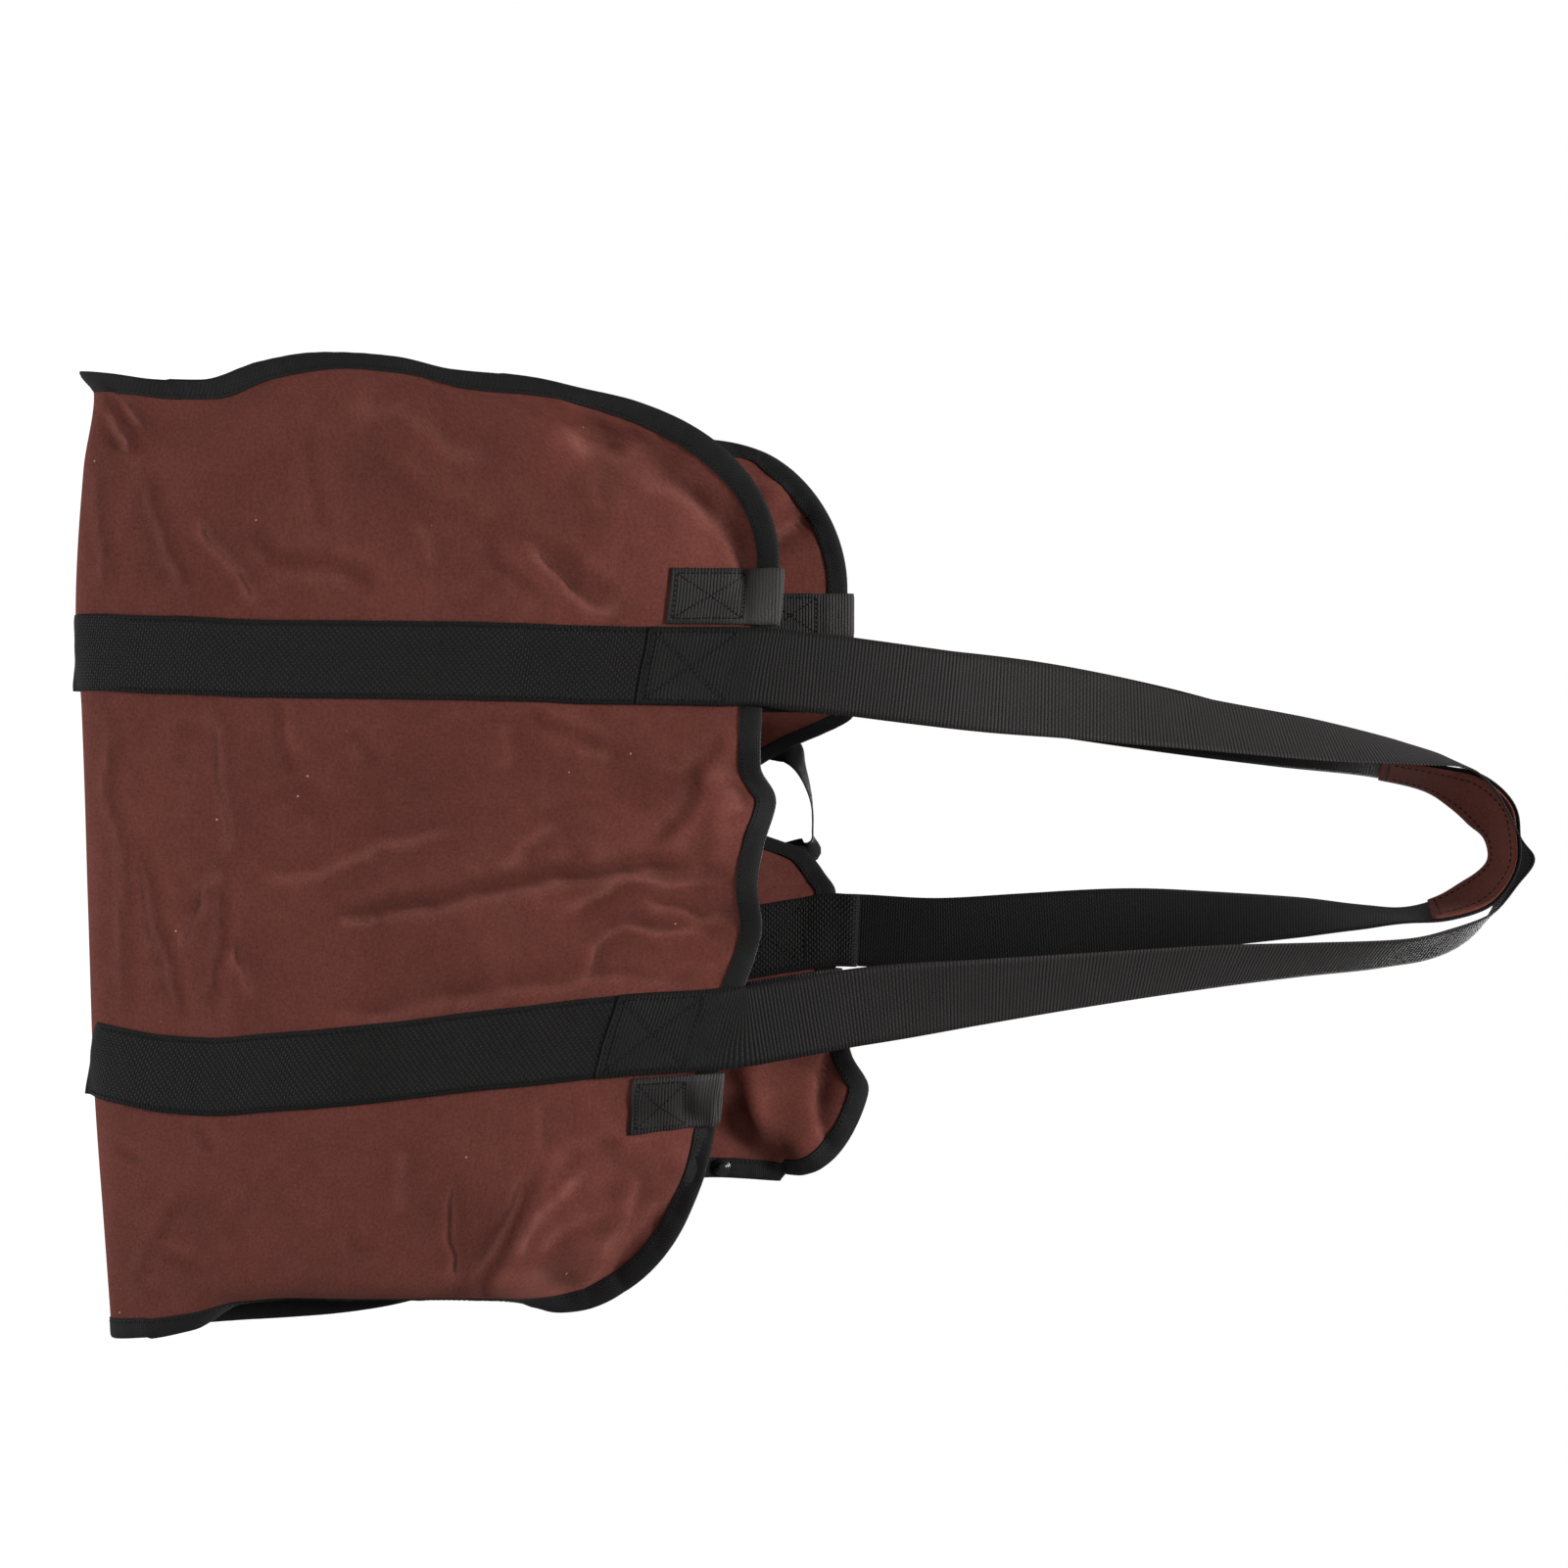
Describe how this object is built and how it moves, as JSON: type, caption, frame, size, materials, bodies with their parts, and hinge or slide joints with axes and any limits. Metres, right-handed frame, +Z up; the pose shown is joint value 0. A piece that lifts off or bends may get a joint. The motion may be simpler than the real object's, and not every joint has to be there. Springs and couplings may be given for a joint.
{
  "type": "canvas log carrier",
  "caption": "Open canvas sling that hangs by two nesting webbing handles, with straps round its bottom fold, a bound edge, side loops and a canvas-lined grip, for carrying firewood.",
  "frame": {"origin": "underside of the inner grip at the top of its arch, where a hand or a hook carries it", "axes": "+Z up, +X across the width to the right seen from the front, -Y towards the front panel"},
  "size_m": [0.6431, 0.1984, 0.9562],
  "materials": {
    "canvas": "reddish-brown brushed canvas, matt",
    "webbing": "black woven webbing and tape, low sheen",
    "metal": "glossy black"
  },
  "bodies": {
    "root": {"canvas_body": "canvas", "edge_binding": "webbing", "body_strap_left": "webbing", "body_strap_right": "webbing", "side_loop_front_left": "webbing", "side_loop_front_right": "webbing", "side_loop_back_left": "webbing", "side_loop_back_right": "webbing", "handle_front": "webbing", "handle_back": "webbing", "grip_lining": "canvas", "hang_loop": "webbing", "snap_stud": "metal"}
  },
  "joints": []
}
